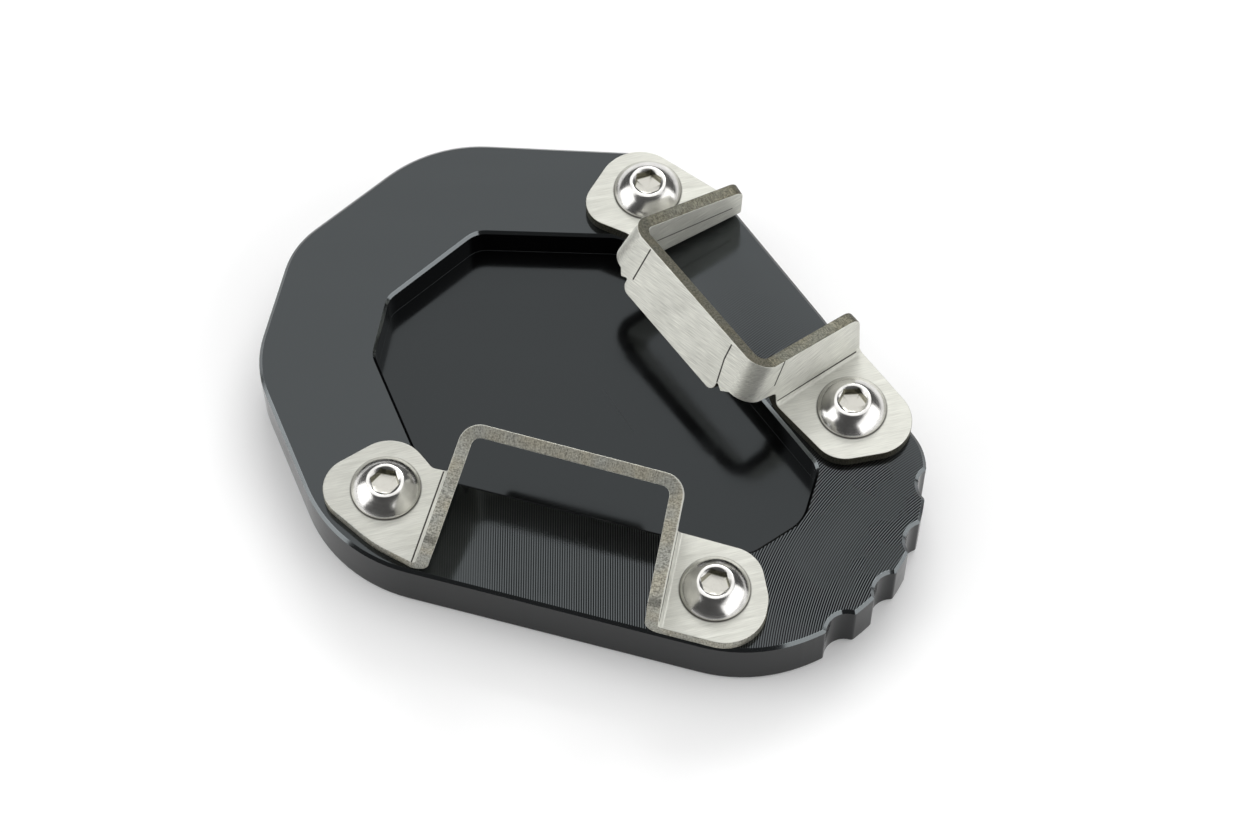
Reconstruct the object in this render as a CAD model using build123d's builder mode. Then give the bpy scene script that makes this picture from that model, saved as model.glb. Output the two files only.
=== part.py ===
from build123d import *
from collections import namedtuple
from math import cos, sin, tan, radians
import os

# Foot enlarger for a side stand: a thick plate with a pocket for the stand's own foot, and two
# folded sheet clamps that reach over the pocket. Each clamp is held by two button head screws.
# Millimetres, +Z up, underside of the plate on z = 0, origin under the middle of the whole piece.

Corner = namedtuple("Corner", "x y radius")

# Plate
plate_thickness = 10.0
edge_break = 0.5
# corners of the outline before rounding, anticlockwise from the rear left one
plate_corners = [
    Corner(-25.57, 44.85, 22.0),
    Corner(-46.97, 25.85, 14.0),
    Corner(-52.07, 4.15, 17.0),
    Corner(-38.67, -28.00, 24.0),
    Corner(24.18, -45.52, 24.0),
    Corner(49.41, -35.79, 30.0),
    Corner(51.37, -10.87, 9.0),
    Corner(36.13, 12.75, 40.0),
    Corner(20.53, 35.25, 8.0),
    Corner(8.53, 43.00, 8.0),
]
# round notches along the heel of the outline, evenly spaced on a circle
notch_count = 4
notch_radius = 3.2
notch_tip_radius = 0.6
notch_circle_center = (20.53, -13.95)
notch_circle_radius = 32.5
notch_first_angle = -56.7
notch_spacing = 17.4

# Pocket for the stand's foot
pocket_depth = 5.5
pocket_rim_break = 0.45
# corners of the pocket at its rim before rounding
pocket_corners = [
    Corner(-18.34, 28.49, 4.5),
    Corner(-31.89, 16.30, 3.5),
    Corner(-33.88, 5.84, 4.0),
    Corner(-25.17, -15.20, 5.0),
    Corner(23.73, -28.85, 5.0),
    Corner(32.48, -22.77, 6.3),
    Corner(35.17, -13.45, 3.6),
    Corner(5.61, 27.65, 5.0),
]

# Screws, M6 button heads with a hexagon socket
thread_diameter = 6.0
tapped_clearance = 0.1
sheet_clearance = 0.4
screw_length = 10.0
head_diameter = 10.5
head_height = 2.7
head_flat_diameter = 5.5
socket_across_flats = 4.0
socket_depth = 1.9
socket_floor_slope = 20.0
socket_point = 0.2

# Clamps, each in a frame of its own: X along the cross wall, Y away from the pocket, Z up from
# the top of the plate. Angles in degrees.
sheet = 2.0
half_width = 17.7
corner_inside = 1.4
ear_inside = 0.8
tab_half_width = 11.4
tab_corner_radius = 1.4
tab_notch_width = 1.2
tab_notch_height = 0.7
tab_notch_radius = 0.2
wall_tip_radius = 2.0
relief_radius = 0.8
relief_height = 5.0

# One side of a clamp: which way it faces, how its wall spreads and leans, where its ear begins
# and ends along the wall, how high the wall's far end stands, the ear's corners and its screw
Side = namedtuple("Side", "way spread lean_in start end end_height ear screw socket_turn")

rear_origin = (10.35, 4.88)
rear_turn = -53.29
rear_place = Location((*rear_origin, plate_thickness), (0, 0, rear_turn))
rear_lean = 29.0
rear_top = 13.6
rear_tab_bottom = 4.87
rear_edge_height = 7.2
rear_notch_height = 6.2
rear_left = Side(
    way=-1,
    spread=-6.75,
    lean_in=2.9,
    start=10.0,
    end=26.4,
    end_height=8.7,
    ear=[Corner(-20.30, 9.20, 2.5), Corner(-28.32, 4.84, 4.4), Corner(-34.84, 20.11, 6.6)],
    screw=(-24.66, 16.60),
    socket_turn=12.0,
)
rear_right = Side(
    way=1,
    spread=0.67,
    lean_in=5.4,
    start=9.2,
    end=25.5,
    end_height=10.7,
    ear=[Corner(30.75, 10.05, 5.2), Corner(38.25, 25.50, 6.0)],
    screw=(25.22, 18.14),
    socket_turn=-3.4,
)

front_origin = (-2.00, -11.58)
front_turn = 163.67
front_place = Location((*front_origin, plate_thickness), (0, 0, front_turn))
front_lean = 26.4
front_top = 14.84
front_tab_bottom = 4.35
front_edge_height = 7.2
front_notch_height = 6.2
front_left = Side(
    way=1,
    spread=-0.08,
    lean_in=11.4,
    start=9.1,
    end=25.2,
    end_height=10.3,
    ear=[
        Corner(20.00, 9.20, 1.5),
        Corner(26.90, 4.28, 6.0),
        Corner(38.40, 17.20, 5.2),
        Corner(24.80, 23.75, 20.0),
    ],
    screw=(25.70, 14.53),
    socket_turn=4.5,
)
front_right = Side(
    way=-1,
    spread=5.3,
    lean_in=-3.0,
    start=9.2,
    end=25.3,
    end_height=9.25,
    ear=[Corner(-31.30, 9.20, 5.5), Corner(-34.60, 15.90, 6.0), Corner(-35.60, 25.00, 6.4)],
    screw=(-26.47, 16.74),
    socket_turn=0.0,
)

x_way = Vector(1, 0, 0)
up = Vector(0, 0, 1)


def rounded_face(corners):
    """Face in the sketch being drawn, through the corners, each rounded by its own radius."""
    with BuildLine() as border:
        FilletPolyline(
            [(corner.x, corner.y) for corner in corners],
            radius=[corner.radius for corner in corners],
            close=True,
        )
    make_face(border.edges())


def bend(center, first, second, inside, run):
    """Bend of the sheet about an axis from the center along the run, first normal to second."""
    turn = first.cross(second).normalized()
    start = center if turn.dot(run) > 0 else center + run
    with BuildSketch(Plane(origin=start, x_dir=first, z_dir=turn)) as section:
        with BuildLine():
            inner_arc = CenterArc((0, 0), inside, 0, first.get_angle(second))
            outer_arc = CenterArc((0, 0), inside + sheet, 0, first.get_angle(second))
            Line(inner_arc @ 0, outer_arc @ 0)
            Line(inner_arc @ 1, outer_arc @ 1)
        make_face()
    extrude(section.sketch, amount=run.length)


def on_plane(plane, point, radius=0.0):
    """Corner of a profile, where a point in space lies on its plane."""
    local = plane.to_local_coords(point)
    return Corner(local.X, local.Y, radius)


def clamp(lean, top, tab_bottom, notch_height, edge_height, sides):
    """Folded clamp in its own frame: a leaning cross wall with a tab, two side walls, two ears."""
    cross_up = Vector(0, sin(radians(lean)), cos(radians(lean)))
    cross_out = x_way.cross(cross_up)
    cross_plane = Plane(origin=(0, 0, sheet), x_dir=x_way, z_dir=cross_out)
    outside = corner_inside + sheet
    ends = {}

    with BuildPart() as folded:
        for side in sides:
            spread, lean_in = radians(side.spread), radians(side.lean_in)
            along = Vector(side.way * sin(spread), cos(spread), 0)
            level_out = Vector(side.way * cos(spread), -sin(spread), 0)
            wall_up = up * cos(lean_in) - level_out * sin(lean_in)
            wall_out = level_out * cos(lean_in) + up * sin(lean_in)
            foot = Vector(side.way * half_width, 0, sheet)
            wall_plane = Plane(origin=foot, x_dir=along * side.way, z_dir=wall_out)

            # corner between the cross wall and this wall
            axis = cross_out.cross(wall_out).normalized() * side.way
            center = foot - (cross_out + wall_out) * (outside / (1 + cross_out.dot(wall_out)))
            rim = center + cross_out * outside
            upper = center + axis * ((top - rim.Z) / axis.Z)
            lower = center + axis * ((edge_height - rim.Z) / axis.Z)
            bend(lower, cross_out, wall_out, corner_inside, upper - lower)
            ends[side.way] = (
                on_plane(cross_plane, upper + cross_out * outside),
                on_plane(cross_plane, lower + cross_out * outside),
            )

            # bend between this wall and its ear
            tangent = ear_inside * tan((radians(90) - lean_in) / 2)
            ear_foot = foot + level_out * tangent
            bend_center = ear_foot + up * ear_inside + along * side.start
            bend(bend_center, -wall_out, -up, ear_inside, along * (side.end - side.start))

            # side wall, from the corner to its free end
            wall_low = ear_inside * cos(lean_in) - tangent * sin(lean_in)
            wall_high = (side.end_height - sheet) / cos(lean_in)
            relief = (relief_height - sheet) / cos(lean_in)
            with BuildSketch(wall_plane):
                rounded_face(
                    [
                        on_plane(wall_plane, upper + wall_out * outside),
                        Corner(side.way * side.end, wall_high, wall_tip_radius),
                        Corner(side.way * side.end, wall_low, 0.0),
                        Corner(side.way * side.start, wall_low, 0.0),
                        Corner(side.way * side.start, relief, relief_radius),
                        on_plane(wall_plane, lower + wall_out * outside),
                    ]
                )
            extrude(amount=-sheet)

            # ear, flat on the plate
            first, last = ear_foot + along * side.start, ear_foot + along * side.end
            with BuildSketch(Plane.XY):
                rounded_face(
                    [Corner(first.X, first.Y, 0.0), *side.ear, Corner(last.X, last.Y, 0.0)]
                )
                with Locations(side.screw):
                    Circle((thread_diameter + sheet_clearance) / 2, mode=Mode.SUBTRACT)
            extrude(amount=sheet)

        # cross wall with its tab, between the two corners
        tab_low = (tab_bottom - sheet) / cos(radians(lean))
        notch_low = (notch_height - sheet) / cos(radians(lean))
        half = []
        for way in (-1, 1):
            half.append(
                [
                    Corner(way * (tab_half_width + tab_notch_width), notch_low, 0.0),
                    Corner(way * tab_half_width, notch_low + tab_notch_height, tab_notch_radius),
                    Corner(way * tab_half_width, tab_low, tab_corner_radius),
                ]
            )
        with BuildSketch(cross_plane):
            rounded_face(
                [ends[1][0], ends[-1][0], ends[-1][1], *half[0], *reversed(half[1]), ends[1][1]]
            )
        extrude(amount=-sheet)
    return folded.part


def screw_place(place, side):
    """Where a screw sits: on top of its ear, turned about its own axis."""
    return place * Location((*side.screw, sheet), (0, 0, side.socket_turn))


screws = {
    "screw_rear_left": screw_place(rear_place, rear_left),
    "screw_rear_right": screw_place(rear_place, rear_right),
    "screw_front_left": screw_place(front_place, front_left),
    "screw_front_right": screw_place(front_place, front_right),
}

# Base plate
with BuildPart() as base_plate:
    with BuildSketch() as outline:
        rounded_face(plate_corners)
        with Locations(notch_circle_center):
            with PolarLocations(
                notch_circle_radius,
                notch_count,
                start_angle=notch_first_angle,
                angular_range=notch_spacing * (notch_count - 1),
                endpoint=True,
            ) as notches:
                Circle(notch_radius, mode=Mode.SUBTRACT)
        tips = outline.vertices().filter_by(
            lambda v: min((v.center() - place.position).length for place in notches.locations)
            < notch_radius + notch_tip_radius / 10
        )
        fillet(tips, notch_tip_radius)
    extrude(amount=plate_thickness)
    rims = base_plate.faces().filter_by(Plane.XY).edges()
    chamfer(rims, edge_break)
    with BuildSketch(Plane.XY.offset(plate_thickness)):
        rounded_face(pocket_corners)
        offset(amount=-pocket_rim_break)
    extrude(amount=-pocket_depth, mode=Mode.SUBTRACT)
    top = base_plate.faces().filter_by(Axis.Z).sort_by(Axis.Z)[-1]
    chamfer(top.inner_wires()[0].edges(), pocket_rim_break)
    for place in screws.values():
        with Locations((place.position.X, place.position.Y, plate_thickness)):
            Hole((thread_diameter + tapped_clearance) / 2)

# Clamps
rear_shape = clamp(
    rear_lean,
    rear_top,
    rear_tab_bottom,
    rear_notch_height,
    rear_edge_height,
    (rear_left, rear_right),
)
with BuildPart() as rear_clamp:
    with Locations(rear_place):
        add(rear_shape)

front_shape = clamp(
    front_lean,
    front_top,
    front_tab_bottom,
    front_notch_height,
    front_edge_height,
    (front_left, front_right),
)
with BuildPart() as front_clamp:
    with Locations(front_place):
        add(front_shape)

# The dome of the head is part of a ball, from the seat of the head to the edge of its flat
head_radius = head_diameter / 2
flat_radius = head_flat_diameter / 2
dome_center = -(head_radius**2 - flat_radius**2 - head_height**2) / (2 * head_height)
dome_radius = (head_radius**2 + dome_center**2) ** 0.5

# Hollow of the socket, below z = 0, with a floor of six shallow facets
socket_slant = (socket_across_flats - socket_point) / 2
socket_fall = socket_slant * tan(radians(socket_floor_slope))
with BuildPart() as socket:
    with BuildSketch():
        RegularPolygon(socket_across_flats / 2, 6, major_radius=False)
    extrude(amount=-socket_depth - socket_fall)
    point = socket.faces().sort_by(Axis.Z)[0]
    chamfer(point.edges(), length=socket_slant, length2=socket_fall, reference=point)

# Screw, with the underside of its head on z = 0
with BuildPart() as screw:
    Cylinder(head_radius, head_height, align=(Align.CENTER, Align.CENTER, Align.MIN))
    with Locations((0, 0, dome_center)):
        Sphere(dome_radius, mode=Mode.INTERSECT)
    Cylinder(
        thread_diameter / 2, screw_length, align=(Align.CENTER, Align.CENTER, Align.MAX)
    )
    with Locations((0, 0, head_height)):
        add(socket.part, mode=Mode.SUBTRACT)

os.makedirs("parts", exist_ok=True)
for name, piece in (
    ("base_plate", base_plate),
    ("rear_clamp", rear_clamp),
    ("front_clamp", front_clamp),
):
    piece.part.label = name
    export_step(piece.part, f"parts/{name}.step")

for name, place in screws.items():
    with BuildPart() as placed_screw:
        with Locations(place):
            add(screw.part)
    placed_screw.part.label = name
    export_step(placed_screw.part, f"parts/{name}.step")
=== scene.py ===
"""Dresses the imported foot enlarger: anodised plate, brushed clamps, screws and studio stage."""

from math import cos, radians, tan

import bmesh
import bpy
import numpy as np
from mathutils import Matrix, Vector
from mathutils.bvhtree import BVHTree


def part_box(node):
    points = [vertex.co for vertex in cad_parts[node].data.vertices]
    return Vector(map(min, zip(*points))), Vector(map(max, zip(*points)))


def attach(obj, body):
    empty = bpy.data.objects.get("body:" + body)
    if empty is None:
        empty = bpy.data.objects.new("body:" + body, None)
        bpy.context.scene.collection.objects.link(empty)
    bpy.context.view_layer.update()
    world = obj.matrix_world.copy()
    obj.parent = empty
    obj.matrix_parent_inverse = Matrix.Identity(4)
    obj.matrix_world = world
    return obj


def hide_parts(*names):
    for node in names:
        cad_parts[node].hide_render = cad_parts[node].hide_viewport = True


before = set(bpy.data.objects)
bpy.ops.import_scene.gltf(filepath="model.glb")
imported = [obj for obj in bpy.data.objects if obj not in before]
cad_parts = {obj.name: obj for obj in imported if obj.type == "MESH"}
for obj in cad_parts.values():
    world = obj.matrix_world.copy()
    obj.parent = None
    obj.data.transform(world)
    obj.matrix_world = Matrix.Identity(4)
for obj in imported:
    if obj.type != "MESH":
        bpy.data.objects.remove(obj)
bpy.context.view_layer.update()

bl_info = {
    "name": "Foot enlarger dressing",
    "version": (1, 0, 0),
    "blender": (4, 5, 0),
    "location": "View3D > Sidebar > Foot enlarger",
    "description": "Finishes and screws for a side stand foot enlarger, with its studio stage",
    "category": "Object",
}

MM = 0.001
# Points of a mesh that are closer than this become one.
WELD = 0.001 * MM
FULL_TURN = 2 * np.pi
PLATE_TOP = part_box("base_plate")[1].z
SCREW_NODES = ("screw_rear_left", "screw_rear_right", "screw_front_left", "screw_front_right")


class PlateFinish(bpy.types.PropertyGroup):
    """Black anodised finish of the thick plate."""

    colour: bpy.props.FloatVectorProperty(
        name="Dye",
        description="Colour of the anodised layer",
        subtype="COLOR",
        default=(0.002, 0.002, 0.0022),
    )
    sheen: bpy.props.FloatVectorProperty(
        name="Sheen",
        description="Tint of the reflections in the anodised layer",
        subtype="COLOR",
        default=(0.89, 0.97, 1.0),
    )
    # Painted highlight: the lighter line at the foot of the pocket's walls.
    foot_highlight_colour: bpy.props.FloatVectorProperty(
        name="Pocket line",
        description="Lighter colour of the thin line at the foot of the pocket's walls",
        subtype="COLOR",
        default=(0.06, 0.064, 0.066),
    )
    line_contrast: bpy.props.FloatProperty(
        name="Line contrast",
        description="How much more the ridges of the cutter lines shine than their grooves",
        default=1.9,
    )
    line_spacing: bpy.props.FloatProperty(
        name="Line spacing",
        description="Distance between two cutter lines on the top face",
        unit="LENGTH",
        default=0.36 * MM,
    )
    roughness: bpy.props.FloatProperty(
        name="Roughness",
        description="Blur of reflections in the anodised layer",
        subtype="FACTOR",
        default=0.12,
    )


class SheetFinish(bpy.types.PropertyGroup):
    """Brushed stainless sheet of the two folded clamps."""

    thickness: bpy.props.FloatProperty(
        name="Sheet",
        description="Thickness of the sheet, which tells its faces from its cut edges",
        unit="LENGTH",
        default=2.0 * MM,
    )
    edge_radius: bpy.props.FloatProperty(
        name="Edge radius",
        description="Rounding that deburring left along the cut edges",
        unit="LENGTH",
        default=0.13 * MM,
    )
    grain_skew: bpy.props.FloatProperty(
        name="Grain skew",
        description="Angle between the brushed grain and the level line across a face",
        subtype="ANGLE",
        default=radians(14),
    )
    colour: bpy.props.FloatVectorProperty(
        name="Steel",
        description="Colour of the brushed faces",
        subtype="COLOR",
        default=(0.675, 0.676, 0.622),
    )
    # One cut edge finish in two copies: the rear clamp's darker one is painted shade, the front
    # clamp's lighter one the lit look.
    rear_cut_shaded: bpy.props.FloatVectorProperty(
        name="Rear cut edge",
        description="Colour of the edges that the cutting beam left on the rear clamp",
        subtype="COLOR",
        default=(0.14, 0.132, 0.098),
    )
    front_cut_lit: bpy.props.FloatVectorProperty(
        name="Front cut edge",
        description="Colour of the edges that the cutting beam left on the front clamp",
        subtype="COLOR",
        default=(0.40, 0.38, 0.31),
    )


class ScrewShape(bpy.types.PropertyGroup):
    """Button head screw with a hexagon socket."""

    flat_radius: bpy.props.FloatProperty(
        name="Flat radius",
        description="Radius of the flat on top of the head",
        unit="LENGTH",
        default=2.75 * MM,
    )
    rim_height: bpy.props.FloatProperty(
        name="Rim height",
        description="Height of the upright rim under the dome",
        unit="LENGTH",
        default=0.35 * MM,
    )
    head_height: bpy.props.FloatProperty(
        name="Head height",
        description="Height of the head above its ear",
        unit="LENGTH",
        default=2.7 * MM,
    )
    across_flats: bpy.props.FloatProperty(
        name="Across flats",
        description="Width of the hexagon socket",
        unit="LENGTH",
        default=4.0 * MM,
    )
    mouth_radius: bpy.props.FloatProperty(
        name="Mouth radius",
        description="Radius of the countersink at the mouth of the socket",
        unit="LENGTH",
        default=2.4 * MM,
    )
    mouth_depth: bpy.props.FloatProperty(
        name="Mouth depth",
        description="Depth of that countersink at the flats of the socket",
        unit="LENGTH",
        default=0.25 * MM,
    )
    socket_depth: bpy.props.FloatProperty(
        name="Socket depth",
        description="Depth of the socket's walls",
        unit="LENGTH",
        default=1.9 * MM,
    )
    floor_slope: bpy.props.FloatProperty(
        name="Floor slope",
        description="Slope of the six facets of the socket's floor",
        subtype="ANGLE",
        default=radians(20),
    )
    shank_radius: bpy.props.FloatProperty(
        name="Thread radius",
        description="Radius over the crests of the thread",
        unit="LENGTH",
        default=3.0 * MM,
    )
    pitch: bpy.props.FloatProperty(
        name="Pitch",
        description="Distance between two crests of the thread",
        unit="LENGTH",
        default=1.0 * MM,
    )
    turns: bpy.props.FloatVectorProperty(
        name="Socket turns",
        description="Turn of each socket, in the order rear left, rear right, front left, right",
        subtype="EULER",
        size=4,
        default=(radians(-41.29), radians(-56.69), radians(168.17), radians(163.67)),
    )


class StageSetup(bpy.types.PropertyGroup):
    """Camera and light of the studio."""

    camera_place: bpy.props.FloatVectorProperty(
        name="Camera",
        description="Place of the camera",
        subtype="XYZ",
        unit="LENGTH",
        default=(5.33 * MM, -252.65 * MM, 473.2 * MM),
    )
    camera_tilt: bpy.props.FloatProperty(
        name="Tilt",
        description="Angle of the camera away from straight down",
        subtype="ANGLE",
        default=radians(28.14),
    )
    camera_lens: bpy.props.FloatProperty(
        name="Lens",
        description="Focal length on a sensor 36 mm wide",
        unit="CAMERA",
        default=98.76,
    )
    top_power: bpy.props.FloatProperty(
        name="Top light",
        description="Power of the large soft light overhead",
        unit="POWER",
        default=7.4,
    )
    left_power: bpy.props.FloatProperty(
        name="Left light",
        description="Power of the soft light at the left",
        unit="POWER",
        default=2.7,
    )
    right_power: bpy.props.FloatProperty(
        name="Right light",
        description="Power of the wide soft light at the right",
        unit="POWER",
        default=4.1,
    )
    back_power: bpy.props.FloatProperty(
        name="Back light",
        description="Power of the soft light behind the part",
        unit="POWER",
        default=5.4,
    )
    sky: bpy.props.FloatProperty(
        name="Room",
        description="Brightness of the room around the lights",
        default=0.08,
    )
    floor_glow: bpy.props.FloatProperty(
        name="Floor glow",
        description="Light that comes through the lit floor from below",
        default=0.1,
    )


def join(tree, socket, value):
    """Links an output to the socket, or sets the socket's own value."""
    if isinstance(value, bpy.types.NodeSocket):
        tree.links.new(value, socket)
    else:
        socket.default_value = value


def add_node(tree, kind, inputs=None, **settings):
    """Node of that kind in the tree, with its settings and the values or links of its inputs."""
    made = tree.nodes.new(kind)
    for key, value in settings.items():
        setattr(made, key, value)
    for key, value in (inputs or {}).items():
        join(tree, made.inputs[key], value)
    return made


def calc(tree, operation, first, second=0.0, third=0.0):
    """Output of a Math node."""
    inputs = {0: first, 1: second, 2: third}
    return add_node(tree, "ShaderNodeMath", inputs, operation=operation).outputs[0]


def calc_vector(tree, operation, first, second):
    """Vector that a Vector Math node makes of two others."""
    inputs = {0: first, 1: second}
    return add_node(tree, "ShaderNodeVectorMath", inputs, operation=operation).outputs["Vector"]


def measure(tree, operation, first, second):
    """Number that a Vector Math node makes of two vectors: their distance or dot product."""
    inputs = {0: first, 1: second}
    return add_node(tree, "ShaderNodeVectorMath", inputs, operation=operation).outputs["Value"]


def scaled(tree, vector, factor):
    """Vector or colour times a number."""
    inputs = {0: vector, "Scale": factor}
    return add_node(tree, "ShaderNodeVectorMath", inputs, operation="SCALE").outputs["Vector"]


def ramp(tree, value, low, high, start=0.0, end=1.0):
    """Output that goes from start to end while the value goes from low to high."""
    inputs = {0: value, 1: low, 2: high, 3: start, 4: end}
    return add_node(tree, "ShaderNodeMapRange", inputs).outputs[0]


def noise(tree, place, scale, detail):
    """Noise between 0 and 1, with its scale in waves per unit of the place."""
    inputs = {"Vector": place, "Scale": scale, "Detail": detail}
    return add_node(tree, "ShaderNodeTexNoise", inputs).outputs["Fac"]


def blend(tree, factor, first, second):
    """Output of a node that mixes two colours."""
    inputs = {0: factor, 6: first, 7: second}
    return add_node(tree, "ShaderNodeMix", inputs, data_type="RGBA").outputs[2]


def bump(tree, height, strength, distance):
    """Normal of a surface with that height."""
    inputs = {"Height": height, "Strength": strength, "Distance": distance}
    return add_node(tree, "ShaderNodeBump", inputs).outputs[0]


def object_place(tree):
    """Place on the surface in the shared frame, in metres."""
    return add_node(tree, "ShaderNodeTexCoord").outputs["Object"]


def map_place(tree, name):
    """Place on the piece's UV map of that name, in metres."""
    return add_node(tree, "ShaderNodeUVMap", uv_map=name).outputs[0]


def facing(tree):
    """Direction that the surface faces."""
    return add_node(tree, "ShaderNodeNewGeometry").outputs["Normal"]


def split_axes(tree, vector):
    """Outputs x, y and z of a vector."""
    return add_node(tree, "ShaderNodeSeparateXYZ", {0: vector}).outputs


def rgba(colour):
    """Colour with full alpha."""
    return (*colour, 1.0)


def millimetres(point):
    """Point given in millimetres, in metres."""
    return tuple(value * MM for value in point)


def new_group(name, inputs, outputs):
    """Shader node group with named float or vector sockets, and its input and output nodes."""
    tree = bpy.data.node_groups.new(name, "ShaderNodeTree")
    for socket_name, default in inputs.items():
        kind = "NodeSocketFloat" if isinstance(default, float) else "NodeSocketVector"
        made = tree.interface.new_socket(socket_name, in_out="INPUT", socket_type=kind)
        made.default_value = default
    for socket_name in outputs:
        tree.interface.new_socket(socket_name, in_out="OUTPUT", socket_type="NodeSocketFloat")
    return tree, tree.nodes.new("NodeGroupInput"), tree.nodes.new("NodeGroupOutput")


def streak_group():
    """Group "streaks": fine and coarse noise, drawn out along a vector's first axis.

    The vector is in metres. Its first axis is divided by the length of a streak and the other two
    by its width. The coarse noise has streaks that are about five times larger.
    """
    tree, source, out = new_group(
        "streaks", {"Vector": (0, 0, 0), "Length": 4 * MM, "Width": 0.1 * MM}, ["Fine", "Coarse"]
    )
    given = source.outputs
    along = calc(tree, "DIVIDE", 1.0, given["Length"])
    across = calc(tree, "DIVIDE", 1.0, given["Width"])
    scale = add_node(tree, "ShaderNodeCombineXYZ", {0: along, 1: across, 2: across}).outputs[0]
    drawn = calc_vector(tree, "MULTIPLY", given["Vector"], scale)
    join(tree, out.inputs["Fine"], noise(tree, drawn, 1.0, 3.0))
    join(tree, out.inputs["Coarse"], noise(tree, drawn, 0.22, 2.0))


def line_group():
    """Group "scribed line": mask of a thin line from one point to another.

    The nearest point of the line is found from two dot products, and kept between its ends. The
    mask falls from 1 to 0 while the distance from it goes from half the width to the width.
    """
    tree, source, out = new_group(
        "scribed line",
        {"Vector": (0, 0, 0), "Start": (0, 0, 0), "End": (0, 0, 0), "Width": 0.08 * MM},
        ["Mask"],
    )
    given = source.outputs
    run = calc_vector(tree, "SUBTRACT", given["End"], given["Start"])
    reach = calc_vector(tree, "SUBTRACT", given["Vector"], given["Start"])
    ahead = measure(tree, "DOT_PRODUCT", reach, run)
    share = calc(tree, "DIVIDE", ahead, measure(tree, "DOT_PRODUCT", run, run))
    share = add_node(tree, "ShaderNodeClamp", {0: share}).outputs[0]
    gap = measure(tree, "DISTANCE", reach, scaled(tree, run, share))
    near = calc(tree, "MULTIPLY", given["Width"], 0.5)
    join(tree, out.inputs["Mask"], ramp(tree, gap, near, given["Width"], 1.0, 0.0))


def use_group(tree, name, inputs):
    """Outputs of a node group that is placed in a material."""
    group = bpy.data.node_groups[name]
    return add_node(tree, "ShaderNodeGroup", inputs, node_tree=group).outputs


def streaks_along(tree, vector, length, width):
    """Outputs Fine and Coarse of streaks along the vector's first axis."""
    return use_group(tree, "streaks", {"Vector": vector, "Length": length, "Width": width})


def line_between(tree, place, ends, width):
    """Mask of a thin line between two points given in millimetres."""
    start, end = ends
    inputs = {
        "Vector": place,
        "Start": millimetres(start),
        "End": millimetres(end),
        "Width": width,
    }
    return use_group(tree, "scribed line", inputs)["Mask"]


def new_material(name):
    """Material with an empty Principled shader, and its tree and shader."""
    made = bpy.data.materials.new(name)
    made.use_nodes = True
    return made, made.node_tree, made.node_tree.nodes["Principled BSDF"]


def feed(tree, shader, **sockets):
    """Links outputs to the shader's sockets or sets their values, by name with _ for a space."""
    for key, value in sockets.items():
        join(tree, shader.inputs[key.replace("_", " ")], value)


# Points of the shared frame, in millimetres: the middle of the cutter's arcs and the two ends of
# the scratch on the pocket's floor.
CUTTER_CENTER = (75.0, -50.0, 10.0)
POCKET_SCRATCH = ((2.12, 2.75, 4.5), (6.58, -4.54, 4.5))
POCKET_FLOOR = 4.5 * MM

# Specular level of the faces in the pocket and on top, the share of it that walls have as painted
# shade, and what a painted highlight adds to it on chamfers.
POCKET_SHINE = 0.47
TOP_SHINE = 0.77
WALL_SHADE_SHARE = 0.38
CHAMFER_HIGHLIGHT_GAIN = 2.6

# Height of the cutter's grooves and ridges, and roughness of the scratch.
GROOVE = -0.54
RIDGE = 0.65
SCRATCH_BLUR = 0.42


def cutter_lines(tree, place, spacing):
    """Height of the lines that the cutter left, with ridges above 0 and grooves below.

    The lines are a sine of a distance over their spacing. At the heel it is the distance from
    CUTTER_CENTER, which gives arcs, and by the front rim it is x, which gives straight lines. Both
    fade out towards the rest of the plate, and a slow noise makes them uneven.
    """
    x, y, _ = split_axes(tree, place)
    heel = calc(
        tree,
        "MULTIPLY",
        ramp(tree, x, 16 * MM, 26 * MM),
        ramp(tree, calc(tree, "ADD", x, y), 48 * MM, 30 * MM),
    )
    front = calc(
        tree,
        "MULTIPLY",
        ramp(tree, y, -17 * MM, -25 * MM, 0.0, 0.85),
        ramp(tree, x, -24 * MM, -14 * MM),
    )
    arc = measure(tree, "DISTANCE", place, millimetres(CUTTER_CENTER))
    lines = []
    for distance, share in ((arc, heel), (x, calc(tree, "SUBTRACT", front, heel))):
        wave = calc(tree, "SINE", calc(tree, "MULTIPLY", distance, FULL_TURN / spacing))
        height = ramp(tree, wave, -0.2, 1.0, GROOVE, RIDGE)
        lines.append(calc(tree, "MULTIPLY", height, calc(tree, "MAXIMUM", share, 0.0)))
    uneven = ramp(tree, noise(tree, place, 90.0, 3.0), 0.3, 0.6, 0.6, 1.0)
    return calc(tree, "MULTIPLY", calc(tree, "ADD", *lines), uneven)


def chamfer_highlight(tree, flatness, back):
    """Mask of the painted highlight on the chamfers that don't face the back.

    Flatness is 0 on a wall and 1 on a level face, so a chamfer lies between the two.
    """
    low = ramp(tree, flatness, 0.5, 0.65)
    high = ramp(tree, flatness, 0.9, 0.8)
    mask = calc(tree, "MULTIPLY", low, high)
    return calc(tree, "MULTIPLY", mask, ramp(tree, back, 0.05, 0.3, 1.0, 0.0))


def pocket_foot_highlight(tree, place, height, normal, flatness):
    """Mask of a painted highlight: a thin line just over the pocket's floor, on the walls that
    face the middle.
    """
    low = ramp(tree, height, POCKET_FLOOR + 0.22 * MM, POCKET_FLOOR + 0.1 * MM)
    outward = measure(tree, "DOT_PRODUCT", normal, place)
    mask = calc(tree, "MULTIPLY", low, ramp(tree, outward, 1 * MM, -1 * MM))
    return calc(tree, "MULTIPLY", mask, ramp(tree, flatness, 0.6, 0.3))


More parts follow.
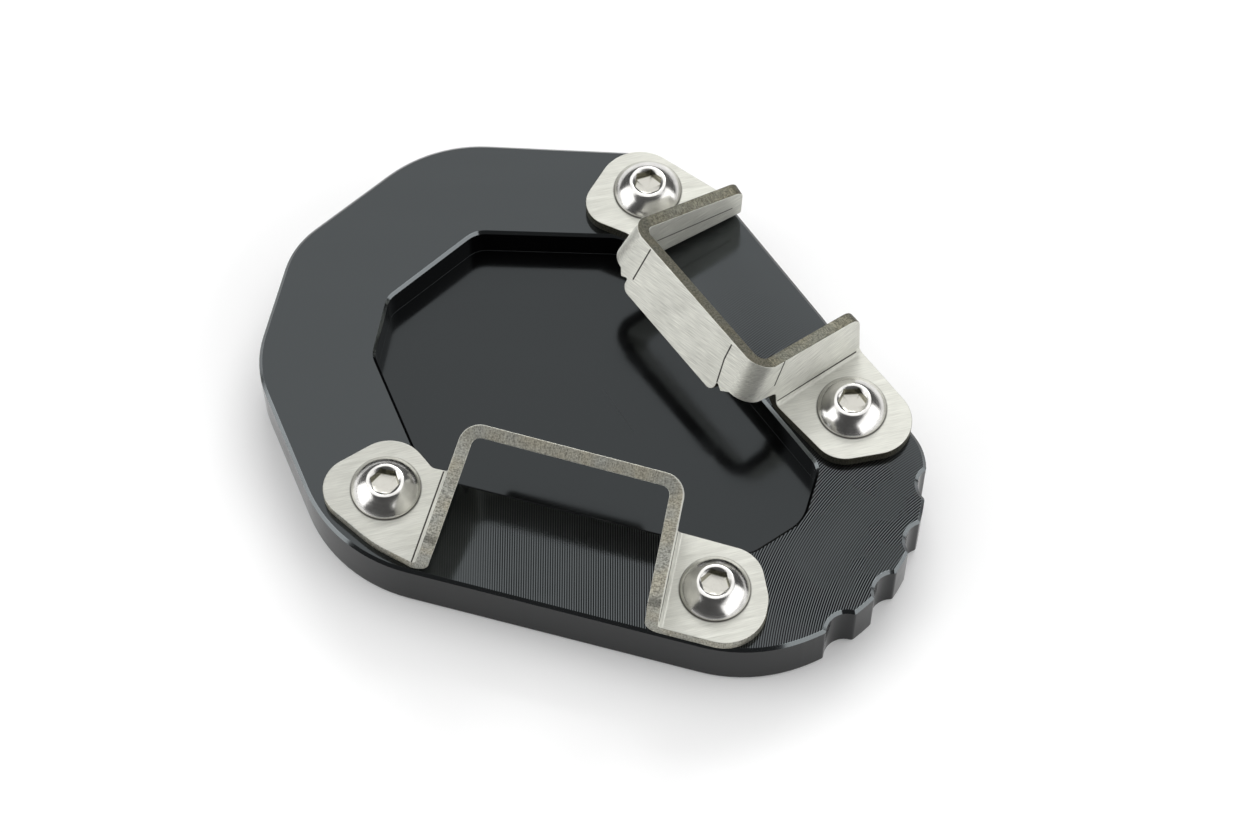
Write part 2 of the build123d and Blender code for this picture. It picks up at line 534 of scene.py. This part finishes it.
def anodised_material(finish):
    """Black anodised aluminium, whose brightness is the specular level of a nearly black dye.

    The top face shines more than the pocket's floor. The walls shine less than level faces, as
    painted shade. The cutter's ridges shine more and its grooves less, and the chamfers that don't
    face the back shine more as a painted highlight. The scratch is blurred, and the foot of the
    pocket's walls has a thin lighter line, a painted highlight.
    """
    made, tree, shader = new_material("black_anodised_finish")
    place = object_place(tree)
    height = split_axes(tree, place)[2]
    normal = facing(tree)
    _, back, up = split_axes(tree, normal)
    flatness = calc(tree, "ABSOLUTE", up)
    top = ramp(tree, height, PLATE_TOP - 0.05 * MM, PLATE_TOP - 0.02 * MM)
    line = calc(tree, "MULTIPLY", cutter_lines(tree, place, finish.line_spacing), top)
    # Painted highlight along the foot of the pocket's walls.
    foot = pocket_foot_highlight(tree, place, height, normal, flatness)

    level = ramp(tree, top, 0.0, 1.0, POCKET_SHINE, TOP_SHINE)
    # Walls shine less than level faces: painted shade.
    level = calc(tree, "MULTIPLY", level, ramp(tree, flatness, 0.3, 0.6, WALL_SHADE_SHARE, 1.0))
    # Chamfers that don't face the back shine more: a painted highlight.
    gain = calc(tree, "MULTIPLY_ADD", chamfer_highlight(tree, flatness, back), CHAMFER_HIGHLIGHT_GAIN, 1.0)
    gain = calc(tree, "MULTIPLY_ADD", line, finish.line_contrast, gain)

    wiped = streaks_along(tree, place, 9 * MM, 1.2 * MM)["Coarse"]
    blur = ramp(tree, wiped, 0.3, 0.7, finish.roughness - 0.03, finish.roughness + 0.04)
    scratch = line_between(tree, place, POCKET_SCRATCH, 0.22 * MM)
    feed(
        tree,
        shader,
        Base_Color=blend(tree, foot, rgba(finish.colour), rgba(finish.foot_highlight_colour)),
        Roughness=calc(tree, "MAXIMUM", blur, calc(tree, "MULTIPLY", scratch, SCRATCH_BLUR)),
        Specular_IOR_Level=calc(tree, "MULTIPLY", level, gain),
        Specular_Tint=rgba(finish.sheen),
        Normal=bump(tree, line, 0.12, 0.02 * MM),
    )
    return made


# Colour of the folding tool's lines, and of the painted contact shadow round the screw heads.
PRESSED_AND_SHADOW_COLOUR = (0.05, 0.045, 0.04)


def brushed_material(finish, name, marks, heads):
    """Brushed stainless faces, with the folding tool's lines and painted shadows round the heads.

    The grain makes the steel lighter and darker, and less so on faces that lie flat. A ring of
    painted contact shadow is dark where the distance from a screw's axis, seen from above, is near
    the head's radius.
    """
    made, tree, shader = new_material(name)
    place = object_place(tree)
    streaks = streaks_along(tree, map_place(tree, "grain"), 3 * MM, 0.15 * MM)
    shade = calc(tree, "MULTIPLY_ADD", noise(tree, place, 180.0, 2.0), 0.35, streaks["Fine"])
    flatness = calc(tree, "ABSOLUTE", split_axes(tree, facing(tree))[2])
    contrast = ramp(tree, flatness, 0.6, 0.9, 1.0, 0.45)
    tone = calc(tree, "MULTIPLY_ADD", ramp(tree, shade, 0.4, 0.95, -0.28, 0.28), contrast, 0.98)
    steel = scaled(tree, tuple(finish.colour), tone)

    pressed_and_shadow = 0.0
    for ends in marks:
        pressed_and_shadow = calc(tree, "MAXIMUM", line_between(tree, place, ends, 0.17 * MM), pressed_and_shadow)
    plan = calc_vector(tree, "MULTIPLY", place, (1, 1, 0))
    # Painted contact shadow: a dark ring round each screw head.
    for x, y, radius in heads:
        reach = measure(tree, "DISTANCE", plan, (x, y, 0))
        gap = calc(tree, "ABSOLUTE", calc(tree, "SUBTRACT", reach, radius))
        ring = ramp(tree, gap, 0.08 * MM, 0.3 * MM, 0.8, 0.0)
        pressed_and_shadow = calc(tree, "MAXIMUM", pressed_and_shadow, ring)

    height = calc(tree, "SUBTRACT", streaks["Fine"], pressed_and_shadow)
    along = add_node(tree, "ShaderNodeTangent", direction_type="UV_MAP", uv_map="grain")
    feed(
        tree,
        shader,
        Base_Color=blend(tree, pressed_and_shadow, steel, rgba(PRESSED_AND_SHADOW_COLOUR)),
        Metallic=0.88,
        Roughness=ramp(tree, streaks["Coarse"], 0.3, 0.7, 0.5, 0.6),
        Anisotropic=0.85,
        Anisotropic_Rotation=0.25,
        Tangent=along.outputs[0],
        Normal=bump(tree, height, 0.35, 0.012 * MM),
    )
    return made


def cut_material(cut_colour, name):
    """Edges left by the cutting beam: grainy, brownish, streaked through the thickness."""
    made, tree, shader = new_material(name)
    place = object_place(tree)
    streaks = streaks_along(tree, map_place(tree, "grain"), 1.1 * MM, 0.16 * MM)
    rough = calc(tree, "MULTIPLY_ADD", streaks["Fine"], 0.7, noise(tree, place, 3600.0, 3.0))
    red, green, blue = cut_colour
    cooler = (red * 0.95, green, blue * 1.1)
    patches = ramp(tree, noise(tree, place, 260.0, 1.0), 0.35, 0.65)
    base = blend(tree, patches, rgba(cut_colour), rgba(cooler))
    feed(
        tree,
        shader,
        Base_Color=scaled(tree, base, ramp(tree, rough, 0.64, 1.06, 0.5, 1.35)),
        Metallic=0.85,
        Roughness=ramp(tree, rough, 0.6, 1.1, 0.62, 0.42),
        Normal=bump(tree, rough, 0.6, 0.05 * MM),
    )
    return made


# Lengths along a screw's profile, from the middle of the socket's floor, over which the floor
# turns into the walls and the walls end.
SOCKET_FLOOR_END = (2.05 * MM, 2.2 * MM)
SOCKET_WALL_END = (3.7 * MM, 3.85 * MM)
POLISHED_STEEL = (1.0, 0.985, 0.955)
# Painted shade: darker colours for the socket's floor and walls.
SOCKET_FLOOR_SHADE = (0.5, 0.49, 0.45)
SOCKET_WALL_SHADE = (0.3, 0.29, 0.23)


def polished_material():
    """Polished stainless screw with fine lines from turning, duller in its socket.

    The socket is also darker, as painted shade.
    """
    made, tree, shader = new_material("screw_polish")
    turned = map_place(tree, "turned")
    streaks = streaks_along(tree, turned, 3 * MM, 0.09 * MM)
    cloud = noise(tree, object_place(tree), 500.0, 2.0)
    polish = scaled(tree, POLISHED_STEEL, ramp(tree, cloud, 0.35, 0.65, 0.6, 0.74))
    profile = split_axes(tree, turned)[1]
    inside = ramp(tree, profile, *SOCKET_WALL_END, 1.0, 0.0)
    walls = calc(tree, "MULTIPLY", inside, ramp(tree, profile, *SOCKET_FLOOR_END))
    # Painted shade in the socket: its floor and walls darker than the polish.
    colour = blend(tree, inside, polish, rgba(SOCKET_FLOOR_SHADE))
    colour = blend(tree, walls, colour, rgba(SOCKET_WALL_SHADE))
    blur = ramp(tree, streaks["Coarse"], 0.3, 0.7, 0.16, 0.25)
    feed(
        tree,
        shader,
        Base_Color=colour,
        Metallic=1.0,
        Roughness=calc(tree, "MULTIPLY_ADD", inside, 0.03, blur),
        Normal=bump(tree, streaks["Fine"], 0.3, 0.01 * MM),
    )
    return made


def floor_material(glow):
    """Pale matt floor of a lit studio table, clear from below so that the underside shows."""
    made, tree, shader = new_material("pale_floor")
    cloud = noise(tree, object_place(tree), 3.0, 1.0)
    behind = add_node(tree, "ShaderNodeNewGeometry").outputs["Backfacing"]
    feed(
        tree,
        shader,
        Base_Color=blend(tree, cloud, rgba((0.88, 0.88, 0.88)), rgba((0.9, 0.9, 0.9))),
        Alpha=calc(tree, "SUBTRACT", 1.0, behind),
        Roughness=0.85,
        Emission_Color=rgba((1, 1, 1)),
        Emission_Strength=glow,
    )
    return made


def new_object(name, data):
    """Object with that data, put into the scene."""
    made = bpy.data.objects.new(name, data)
    bpy.context.scene.collection.objects.link(made)
    return made


def merged_copy(node, name):
    """Object with a copy of a node's mesh, its loose triangles joined and its flat faces whole."""
    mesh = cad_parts[node].data.copy()
    mesh.name = name
    mesh.materials.clear()
    # Stored normals belong to the loose triangles, and would hide the rounded edges.
    custom = mesh.attributes.get("custom_normal")
    if custom:
        mesh.attributes.remove(custom)
    shape = bmesh.new()
    shape.from_mesh(mesh)
    bmesh.ops.remove_doubles(shape, verts=shape.verts, dist=WELD)
    bmesh.ops.dissolve_limit(
        shape, angle_limit=radians(0.5), verts=shape.verts, edges=shape.edges
    )
    shape.to_mesh(mesh)
    shape.free()
    return new_object(name, mesh)


def smooth_by_angle(mesh, degrees):
    """Shades the mesh smooth, apart from edges sharper than the angle."""
    mesh.polygons.foreach_set("use_smooth", np.ones(len(mesh.polygons), bool))
    mesh.set_sharp_from_angle(angle=radians(degrees))


def mark_cut_faces(mesh, thickness):
    """Material index 1 for each face with no other face of the sheet one thickness behind it.

    The ray starts in the middle of the face's largest triangle, a little under the face.
    """
    inset = 0.01 * MM
    tolerance = 0.06 * thickness
    tree = BVHTree.FromPolygons(
        [v.co for v in mesh.vertices], [list(p.vertices) for p in mesh.polygons]
    )
    mesh.calc_loop_triangles()
    widest = {}
    for corner in mesh.loop_triangles:
        if corner.area > widest.get(corner.polygon_index, (0, None))[0]:
            widest[corner.polygon_index] = (corner.area, corner)
    for index, (_, corner) in widest.items():
        middle = sum((mesh.vertices[v].co for v in corner.vertices), Vector()) / 3
        gap = tree.ray_cast(middle - corner.normal * inset, -corner.normal)[3]
        cut = gap is None or abs(gap - thickness) > tolerance
        mesh.polygons[index].material_index = int(cut)


def grain_map(mesh, skew):
    """UV map in metres: first axis along the grain of each face, the second one across it.

    On the faces of the sheet the grain is level, or along x where a face lies flat, and then
    turned by the skew. On cut edges it runs through the thickness, square to the border with the
    face of the sheet.
    """
    faces = len(mesh.polygons)
    normals = np.empty(faces * 3)
    mesh.polygons.foreach_get("normal", normals)
    normals = normals.reshape(-1, 3)
    cut = np.empty(faces, int)
    mesh.polygons.foreach_get("material_index", cut)
    points = np.empty(len(mesh.vertices) * 3)
    mesh.vertices.foreach_get("co", points)
    points = points.reshape(-1, 3)
    totals = np.empty(faces, int)
    mesh.polygons.foreach_get("loop_total", totals)
    owner = np.repeat(np.arange(faces), totals)
    corners = np.empty(len(mesh.loops), int)
    mesh.loops.foreach_get("vertex_index", corners)
    loop_edges = np.empty(len(mesh.loops), int)
    mesh.loops.foreach_get("edge_index", loop_edges)
    ends = np.empty(len(mesh.edges) * 2, int)
    mesh.edges.foreach_get("vertices", ends)
    ends = ends.reshape(-1, 2)

    lying_limit = 0.95
    level = np.cross(normals, (0, 0, 1))
    lying = np.abs(normals[:, 2]) > lying_limit
    level[lying] = (1, 0, 0)
    level /= np.linalg.norm(level, axis=1, keepdims=True)
    across = np.cross(normals, level)
    along = level * cos(skew) + across * np.sin(skew)

    sheet_edges = np.zeros(len(mesh.edges), bool)
    sheet_edges[loop_edges[cut[owner] == 0]] = True
    border = sheet_edges[loop_edges] & (cut[owner] == 1)
    run = points[ends[loop_edges[border], 1]] - points[ends[loop_edges[border], 0]]
    through = np.cross(normals[owner[border]], run)
    along[owner[border]] = through / np.linalg.norm(through, axis=1, keepdims=True)

    across = np.cross(normals, along)
    place = points[corners]
    uv = np.stack([(place * along[owner]).sum(1), (place * across[owner]).sum(1)], axis=1)
    layer = mesh.uv_layers.new(name="grain")
    layer.data.foreach_set("uv", uv.astype(np.float32).ravel())


def ring_surface(name, rows):
    """Object from a grid of rings: rows of x, y and z arrays, closed round, doubles merged.

    The first axis of its UV map "turned" runs round the rings, with the length that it has on the
    widest ring. The second one is the length along the profile from the first ring, taken as the
    mean of all columns.
    """
    grid = np.array(rows).transpose(0, 2, 1)
    count, columns = grid.shape[:2]
    index = np.arange(count * columns).reshape(count, columns)
    following = np.roll(index, -1, axis=1)
    faces = np.stack([index[:-1], index[1:], following[1:], following[:-1]], axis=-1)
    mesh = bpy.data.meshes.new(name)
    mesh.from_pydata(grid.reshape(-1, 3).tolist(), [], faces.reshape(-1, 4).tolist())
    steps = np.linalg.norm(np.diff(grid, axis=0), axis=2).mean(1)
    profile = np.concatenate([[0.0], np.cumsum(steps)])
    row = np.stack([index[:-1], index[1:], index[1:], index[:-1]], axis=-1) // columns
    here = index % columns
    column = np.stack([here[:-1], here[1:], here[1:] + 1, here[:-1] + 1], axis=-1)
    plan = grid[:, :, :2]
    widest = np.linalg.norm(plan - plan.mean((0, 1)), axis=2).max()
    uv = np.stack([column * FULL_TURN * widest / columns, profile[row]], axis=-1)
    layer = mesh.uv_layers.new(name="turned")
    layer.data.foreach_set("uv", uv.astype(np.float32).ravel())
    shape = bmesh.new()
    shape.from_mesh(mesh)
    bmesh.ops.remove_doubles(shape, verts=shape.verts, dist=0.1 * WELD)
    bmesh.ops.recalc_face_normals(shape, faces=shape.faces)
    shape.to_mesh(mesh)
    shape.free()
    return new_object(name, mesh)


def screw_rows(shape, center, seat, tip, head_radius, turn):
    """Rings of a screw from the middle of its socket's floor to the middle of its tip.

    Each ring is a radius and a height for every angle round the axis. The socket's radius is half
    its width over the cosine of the angle from the nearest flat. Its countersink is a cone that
    meets that wall, so it reaches lower at the flats. The dome is a ball through the edge of the
    flat and the edge of the rim. The thread's radius falls from crest to root with the distance
    to the nearest crest, which climbs one pitch a turn, and fades in under the head. The tip is a
    cone of 45 degrees.
    """
    columns = 144
    dome_rings = 18
    rings_per_turn = 10
    soft = 0.05 * MM
    mouth_dip = 0.3 * soft
    angle = np.arange(columns) * FULL_TURN / columns + turn
    half = shape.across_flats / 2
    socket = half / np.cos((angle - turn) % (FULL_TURN / 6) - FULL_TURN / 12)
    top = seat + shape.head_height
    floor = top - shape.socket_depth
    even = np.ones(columns)
    slope = shape.mouth_depth / (shape.mouth_radius - half)
    dome_rise = shape.head_height - shape.rim_height
    spread = head_radius**2 - shape.flat_radius**2 - dome_rise**2
    below = spread / (2 * dome_rise)
    ball = np.hypot(head_radius, below)
    first_tilt = np.arcsin(shape.flat_radius / ball)
    tilts = np.linspace(first_tilt, np.arcsin(head_radius / ball), dome_rings)

    rings = [
        (0 * even, (floor - half * tan(shape.floor_slope)) * even),
        (socket, floor * even),
        (socket, top - (shape.mouth_radius - socket) * slope),
        (shape.mouth_radius * even, (top - mouth_dip) * even),
        ((shape.mouth_radius + soft) * even, top * even),
        ((shape.flat_radius - soft) * even, top * even),
    ]
    rings += [
        (ball * np.sin(tilt) * even, (seat + shape.rim_height - below + ball * cos(tilt)) * even)
        for tilt in tilts
    ]
    rings += [
        (head_radius * even, (seat + soft) * even),
        ((head_radius - soft) * even, seat * even),
        (shape.shank_radius * even, seat * even),
    ]

    depth = 0.61 * shape.pitch
    neck = 0.4
    crest = 0.1
    steepness = 2.3
    tip_radius = shape.shank_radius - 0.8 * MM
    heights = np.arange(seat - neck * shape.pitch, tip, -shape.pitch / rings_per_turn)
    phase = (heights[:, None] / shape.pitch - (angle - turn) / FULL_TURN) % 1
    fall = np.clip(np.abs(phase - 0.5) * steepness - crest, 0, 1) * depth
    fade = np.clip((seat - heights) / shape.pitch - neck, 0, 1)[:, None]
    radius = shape.shank_radius - fall * fade
    radius = np.minimum(radius, tip_radius + (heights[:, None] - tip))
    rings += [(ring, height * even) for ring, height in zip(radius, heights)]
    rings += [(tip_radius * even, tip * even), (0 * even, tip * even)]
    x, y = center
    return [
        (x + radius * np.cos(angle), y + radius * np.sin(angle), height)
        for radius, height in rings
    ]


class FOOT_OT_plate(bpy.types.Operator):
    """Finish the thick plate in black anodised aluminium"""

    bl_idname = "foot_enlarger.plate"
    bl_label = "Anodised plate"

    def execute(self, context):
        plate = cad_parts["base_plate"]
        plate.data.materials.clear()
        plate.data.materials.append(anodised_material(context.scene.foot_plate))
        return {"FINISHED"}


# Ends of the lines that the folding tool pressed, in millimetres of the shared frame.
REAR_MARKS = [
    [(9.21, 16.87, 23.28), (6.58, 15.05, 17.51)],
    [(21.35, 0.33, 23.0), (20.33, -0.64, 20.48)],
    [(20.33, -0.64, 20.48), (19.28, -2.6, 16.84)],
    [(29.43, -1.97, 22.1), (27.99, -3.55, 17.4)],
    [(10.44, 22.65, 16.4), (22.08, 29.45, 14.85)],
    [(28.64, -3.59, 12.7), (40.87, 5.08, 12.36)],
]
FRONT_MARKS = [
    [(-22.1, -15.5, 12.0), (-26.5, -30.5, 12.0)],
    [(13.2, -26.1, 12.6), (10.37, -40.5, 12.6)],
]


def head_circle(screw):
    """Middle and radius of a screw's head, seen from above."""
    low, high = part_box(screw)
    return (low.x + high.x) / 2, (low.y + high.y) / 2, (high.x - low.x) / 2


class FOOT_OT_clamps(bpy.types.Operator):
    """Dress both folded clamps: rounded edges, brushed faces, grainy cut edges"""

    bl_idname = "foot_enlarger.clamps"
    bl_label = "Brushed clamps"

    def execute(self, context):
        finish = context.scene.foot_sheet
        # The rear clamp's darker cut edge colour is painted shade.
        for node, screws, marks, cut in (
            ("rear_clamp", SCREW_NODES[:2], REAR_MARKS, finish.rear_cut_shaded),
            ("front_clamp", SCREW_NODES[2:], FRONT_MARKS, finish.front_cut_lit),
        ):
            heads = [head_circle(screw) for screw in screws]
            piece = merged_copy(node, f"{node}_brushed")
            mark_cut_faces(piece.data, finish.thickness)
            grain_map(piece.data, finish.grain_skew)
            piece.data.materials.append(brushed_material(finish, f"{node}_faces", marks, heads))
            piece.data.materials.append(cut_material(cut, f"{node}_cut_edges"))
            smooth_by_angle(piece.data, 30)
            rounding = piece.modifiers.new("edge_rounding", "BEVEL")
            rounding.width = finish.edge_radius
            rounding.segments = 2
            rounding.limit_method = "ANGLE"
            rounding.angle_limit = radians(35)
            rounding.harden_normals = True
            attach(piece, "root")
            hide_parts(node)
        return {"FINISHED"}


class FOOT_OT_screws(bpy.types.Operator):
    """Make the four button head screws with their sockets and threads"""

    bl_idname = "foot_enlarger.screws"
    bl_label = "Polished screws"

    def execute(self, context):
        shape = context.scene.foot_screw
        polish = polished_material()
        for node, turn in zip(SCREW_NODES, shape.turns):
            low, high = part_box(node)
            x, y, radius = head_circle(node)
            rows = screw_rows(shape, (x, y), high.z - shape.head_height, low.z, radius, turn)
            piece = ring_surface(f"{node}_polished", rows)
            piece.data.materials.append(polish)
            smooth_by_angle(piece.data, 32)
            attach(piece, "root")
            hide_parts(node)
        return {"FINISHED"}


def soft_light(name, place, target, size, power):
    """Large soft rectangular light that the camera doesn't see."""
    lamp = bpy.data.lights.new(name, "AREA")
    lamp.shape = "RECTANGLE"
    lamp.size, lamp.size_y = size
    lamp.energy = power
    made = new_object(name, lamp)
    made.location = place
    made.rotation_euler = (Vector(target) - Vector(place)).to_track_quat("-Z", "Y").to_euler()
    made.visible_camera = False


class FOOT_OT_stage(bpy.types.Operator):
    """Set the pale floor, the soft lights and the camera"""

    bl_idname = "foot_enlarger.stage"
    bl_label = "Studio stage"

    def execute(self, context):
        scene = context.scene
        setup = scene.foot_stage
        # The floor lies a hair under the part, so that their faces don't share a plane.
        half = 3.0
        level = -0.05 * MM
        corners = [(-half, -half), (half, -half), (half, half), (-half, half)]
        mesh = bpy.data.meshes.new("floor")
        mesh.from_pydata([(x, y, level) for x, y in corners], [], [(0, 1, 2, 3)])
        mesh.materials.append(floor_material(setup.floor_glow))
        floor = new_object("floor", mesh)

        part = (0, 0, 0.02)
        soft_light("top_light", (0, 0.42, 0.8), (0, 0.42, 0), (1.5, 1.15), setup.top_power)
        soft_light("left_light", (-0.7, -0.05, 0.32), part, (0.7, 0.6), setup.left_power)
        soft_light("right_light", (0.65, -0.3, 0.32), part, (1.2, 0.6), setup.right_power)
        soft_light("back_light", (0.2, 0.95, 0.74), part, (0.9, 0.3), setup.back_power)

        room = bpy.data.worlds.new("room")
        room.use_nodes = True
        sky = room.node_tree.nodes["Background"]
        sky.inputs["Color"].default_value = rgba((1, 1, 1))
        sky.inputs["Strength"].default_value = setup.sky
        scene.world = room

        lens = bpy.data.cameras.new("camera")
        lens.lens = setup.camera_lens
        lens.sensor_width = 36
        camera = new_object("camera", lens)
        camera.location = setup.camera_place
        camera.rotation_euler = (setup.camera_tilt, 0, 0)
        scene.camera = camera
        scene.view_settings.view_transform = "Standard"
        return {"FINISHED"}


class FOOT_PT_sidebar(bpy.types.Panel):
    """Lists the pieces and their values"""

    bl_idname = "FOOT_PT_sidebar"
    bl_label = "Foot enlarger"
    bl_space_type = "VIEW_3D"
    bl_region_type = "UI"
    bl_category = "Foot enlarger"

    def draw(self, context):
        for group, operator in SECTIONS:
            box = self.layout.box()
            values = getattr(context.scene, group)
            for key in values.__annotations__:
                box.prop(values, key)
            box.operator(operator.bl_idname)


SECTIONS = (
    ("foot_plate", FOOT_OT_plate),
    ("foot_sheet", FOOT_OT_clamps),
    ("foot_screw", FOOT_OT_screws),
    ("foot_stage", FOOT_OT_stage),
)
GROUPS = {
    "foot_plate": PlateFinish,
    "foot_sheet": SheetFinish,
    "foot_screw": ScrewShape,
    "foot_stage": StageSetup,
}
CLASSES = (*GROUPS.values(), *(operator for _, operator in SECTIONS), FOOT_PT_sidebar)


def register():
    """Registers the classes and puts the values on the scene."""
    for kind in CLASSES:
        bpy.utils.register_class(kind)
    for name, group in GROUPS.items():
        setattr(bpy.types.Scene, name, bpy.props.PointerProperty(type=group))


def unregister():
    """Takes the values off the scene and unregisters the classes."""
    for name in GROUPS:
        delattr(bpy.types.Scene, name)
    for kind in reversed(CLASSES):
        bpy.utils.unregister_class(kind)


def main():
    """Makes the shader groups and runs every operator."""
    register()
    streak_group()
    line_group()
    bpy.ops.foot_enlarger.plate()
    bpy.ops.foot_enlarger.clamps()
    bpy.ops.foot_enlarger.screws()
    bpy.ops.foot_enlarger.stage()


if __name__ == "__main__":
    main()
